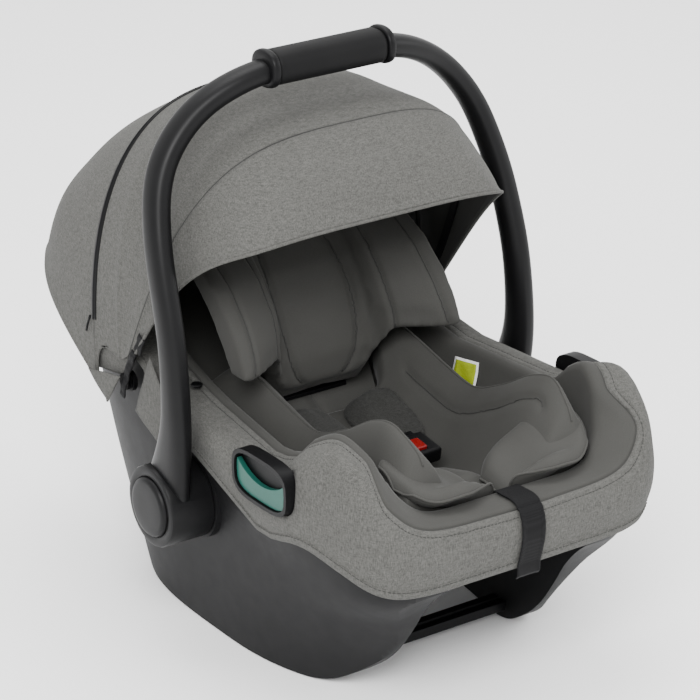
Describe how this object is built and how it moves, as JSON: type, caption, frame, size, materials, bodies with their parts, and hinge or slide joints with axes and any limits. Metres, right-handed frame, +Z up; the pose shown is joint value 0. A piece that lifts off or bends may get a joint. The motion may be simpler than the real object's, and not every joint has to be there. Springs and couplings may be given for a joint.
{
  "type": "infant car seat",
  "caption": "Rear-facing infant carrier: moulded rocker shell, swinging carry handle, folding canopy, padded insert and headrest, harness and buckle.",
  "frame": {"origin": "on the floor under the middle of the seat: the bottom centre of the whole part at rest", "axes": "+Z up, +Y towards the head end, so the foot end faces -Y; +X is the right flank seen from the foot end"},
  "size_m": [0.435, 0.6412, 0.565],
  "materials": {
    "shell_plastic": "fine-textured moulded plastic",
    "handle_plastic": "satin moulded plastic",
    "soft_grip": "matte soft-touch sleeve",
    "black_plastic": "satin black",
    "teal_plastic": "satin teal",
    "red_plastic": "glossy red",
    "rubber": "matte",
    "foam": "moulded bead foam",
    "melange_fabric": "woven grey melange",
    "knit_fabric": "smooth brushed knit",
    "webbing": "dense black webbing",
    "steel": "zinc-plated"
  },
  "bodies": {
    "seat": {"adapter_socket_left": "black_plastic", "adapter_socket_right": "black_plastic", "adjuster_housing": "black_plastic", "adjuster_strap": "webbing", "belt_guide_insert_left": "teal_plastic", "belt_guide_insert_right": "teal_plastic", "belt_guide_left": "black_plastic", "belt_guide_right": "black_plastic", "buckle_tongue_left": "black_plastic", "buckle_tongue_right": "black_plastic", "canopy_pivot_left": "black_plastic", "canopy_pivot_right": "black_plastic", "canopy_rear_panel": "melange_fabric", "canopy_zip": "black_plastic", "crotch_pad": "knit_fabric", "foam_liner": "foam", "foot_pad_front_left": "rubber", "foot_pad_front_right": "rubber", "foot_pad_rear_left": "rubber", "foot_pad_rear_right": "rubber", "front_crossbar": "black_plastic", "handle_pivot_left": "steel", "handle_pivot_right": "steel", "harness_buckle": "black_plastic", "harness_strap_left": "webbing", "harness_strap_right": "webbing", "infant_insert": "knit_fabric", "lock_gear_left": "steel", "lock_gear_right": "steel", "lock_spring_left": "steel", "lock_spring_right": "steel", "rim_snap_left": "black_plastic", "rim_snap_right": "black_plastic", "seat_cover": "melange_fabric", "shell": "shell_plastic", "shoulder_pad_left": "melange_fabric", "shoulder_pad_right": "melange_fabric"},
    "handle": {"handle": "handle_plastic", "hub_cap_left": "handle_plastic", "hub_cap_right": "handle_plastic", "grip_sleeve": "soft_grip", "grip_collar_left": "black_plastic", "grip_collar_right": "black_plastic"},
    "handle_button_left": {"handle_button_left": "black_plastic"},
    "handle_button_right": {"handle_button_right": "black_plastic"},
    "canopy_middle": {"canopy_mid_bow": "black_plastic", "canopy_mid_panel": "melange_fabric"},
    "canopy_front": {"canopy_front_bow": "black_plastic", "canopy_visor": "melange_fabric"},
    "headrest": {"headrest_pad": "knit_fabric", "headrest_plate": "black_plastic"},
    "release_lever": {"base_release_lever": "black_plastic"},
    "buckle_button": {"buckle_button": "red_plastic"},
    "adjuster_button": {"adjuster_button": "black_plastic"}
  },
  "joints": [
    {"name": "handle_swing", "type": "hinge", "parent": "seat", "child": "handle", "pos_m": [0, -0.0045, 0.148], "axis": [-1, 0, 0], "range_deg": [0, 105]},
    {"name": "handle_button_left_press", "type": "slide", "parent": "handle", "child": "handle_button_left", "axis": [0, -0.9511, -0.309], "range_m": [0, 0.004], "stiffness_N_per_m": 900, "springref_m": -0.001},
    {"name": "handle_button_right_press", "type": "slide", "parent": "handle", "child": "handle_button_right", "axis": [0, -0.9511, -0.309], "range_m": [0, 0.004], "stiffness_N_per_m": 900, "springref_m": -0.001},
    {"name": "canopy_fold", "type": "hinge", "parent": "seat", "child": "canopy_middle", "pos_m": [0, 0.1, 0.23], "axis": [-1, 0, 0], "range_deg": [0, 58], "deforming": ["canopy_rear_panel", "canopy_zip"]},
    {"name": "canopy_front_fold", "type": "hinge", "parent": "canopy_middle", "child": "canopy_front", "pos_m": [0, 0.1, 0.23], "axis": [-1, 0, 0], "range_deg": [0, 20], "deforming": ["canopy_mid_panel"]},
    {"name": "headrest_height", "type": "slide", "parent": "seat", "child": "headrest", "axis": [0, 0.8387, 0.5446], "range_m": [0, 0.03]},
    {"name": "base_release", "type": "slide", "parent": "seat", "child": "release_lever", "axis": [0, 0.305, 0.9524], "range_m": [0, 0.01], "stiffness_N_per_m": 600, "springref_m": -0.001},
    {"name": "buckle_release", "type": "slide", "parent": "seat", "child": "buckle_button", "axis": [0, 0.1392, -0.9903], "range_m": [0, 0.0018], "stiffness_N_per_m": 1200, "springref_m": -0.0005},
    {"name": "adjuster_press", "type": "slide", "parent": "seat", "child": "adjuster_button", "axis": [0, -0.8221, -0.5694], "range_m": [0, 0.0014], "stiffness_N_per_m": 1200, "springref_m": -0.0005}
  ],
  "couplings": [
    {"joint": "canopy_front_fold", "follows": "canopy_fold", "ratio": 0.34483}
  ]
}
